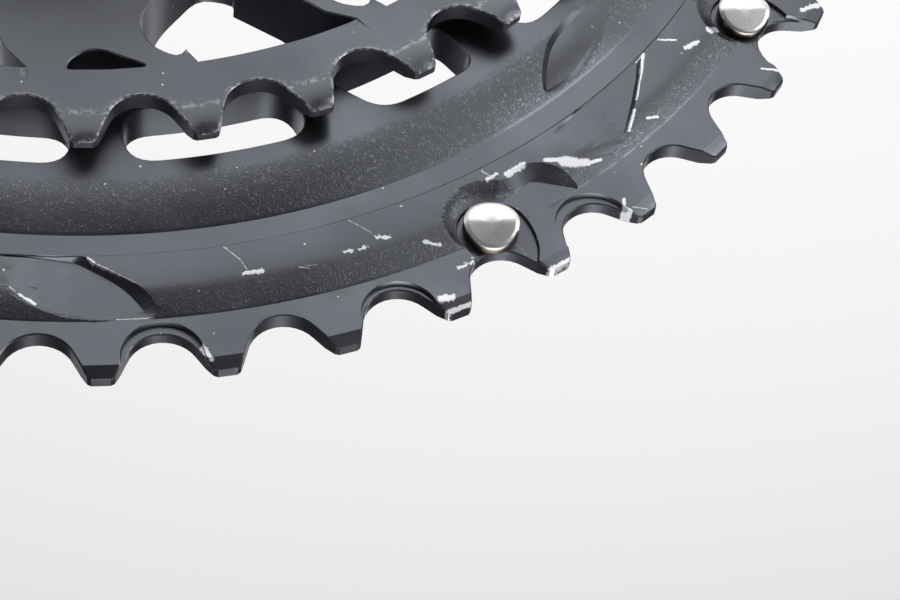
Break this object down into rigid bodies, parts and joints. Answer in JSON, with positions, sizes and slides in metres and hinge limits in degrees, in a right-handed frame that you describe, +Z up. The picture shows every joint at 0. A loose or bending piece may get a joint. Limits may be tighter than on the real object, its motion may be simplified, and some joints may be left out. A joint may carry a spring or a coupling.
{
  "type": "bicycle crankset",
  "caption": "Road bicycle crankset: two arms on a hollow axle, a one-piece double chainring bolted behind the drive arm, and a threaded bottom bracket with ball bearings.",
  "frame": {"origin": "middle of the bottom bracket, on the axle's axis", "axes": "+Y along the axle towards the rider's left, +X forwards, +Z up; the drive side is at -Y and its arm points forwards at rest"},
  "size_m": [0.3746, 0.146, 0.1972],
  "materials": {
    "black_anodised": "satin black anodised",
    "arm_black": "bead-blasted black anodised",
    "axle_alloy": "machined",
    "steel": "turned",
    "dark_steel": "blackened",
    "bearing_steel": "ground",
    "cage_nylon": "moulded",
    "seal_rubber": "moulded",
    "black_plastic": "moulded"
  },
  "bodies": {
    "bottom_bracket": {"drive_cup": "black_anodised", "non_drive_cup": "black_anodised", "centre_sleeve": "black_plastic", "drive_outer_race": "bearing_steel", "non_drive_outer_race": "bearing_steel", "drive_bearing_seals": "seal_rubber", "non_drive_bearing_seals": "seal_rubber"},
    "crank": {"spindle": "axle_alloy", "drive_arm": "arm_black", "non_drive_arm": "arm_black", "double_chainring": "black_anodised", "shift_pins": "steel", "chain_keeper_pin": "steel", "ring_bolts": "dark_steel", "drive_pedal_washer": "steel", "non_drive_pedal_washer": "steel", "crank_bolt": "dark_steel", "crank_bolt_washer": "steel", "extractor_cap": "arm_black", "axle_end_cap": "black_plastic", "drive_inner_race": "bearing_steel", "non_drive_inner_race": "bearing_steel", "drive_dust_shield": "black_plastic", "non_drive_dust_shield": "black_plastic", "drive_spacer": "axle_alloy"},
    "drive_balls": {"drive_bearing_balls": "bearing_steel", "drive_ball_cage": "cage_nylon"},
    "non_drive_balls": {"non_drive_bearing_balls": "bearing_steel", "non_drive_ball_cage": "cage_nylon"},
    "preload_slider": {"preload_washer": "steel"},
    "preload_adjuster": {"preload_ring": "black_anodised", "pinch_screw": "steel"}
  },
  "joints": [
    {"name": "crank_spin", "type": "hinge", "parent": "bottom_bracket", "child": "crank", "pos_m": [0, 0, 0], "axis": [0, 1, 0], "continuous": true},
    {"name": "drive_ball_orbit", "type": "hinge", "parent": "bottom_bracket", "child": "drive_balls", "pos_m": [0, -0.0415, 0], "axis": [0, 1, 0], "continuous": true},
    {"name": "non_drive_ball_orbit", "type": "hinge", "parent": "bottom_bracket", "child": "non_drive_balls", "pos_m": [0, 0.0415, 0], "axis": [0, 1, 0], "continuous": true},
    {"name": "preload_slide", "type": "slide", "parent": "crank", "child": "preload_slider", "axis": [0, 1, 0], "range_m": [0, 0.0015]},
    {"name": "preload_turn", "type": "hinge", "parent": "preload_slider", "child": "preload_adjuster", "pos_m": [0, 0.0497, 0], "axis": [0, 1, 0], "range_deg": [0, 540]}
  ],
  "couplings": [
    {"joint": "drive_ball_orbit", "follows": "crank_spin", "ratio": 0.4511},
    {"joint": "non_drive_ball_orbit", "follows": "crank_spin", "ratio": 0.4511},
    {"joint": "preload_slide", "follows": "preload_turn", "m_per_rad": 0.00015915}
  ]
}
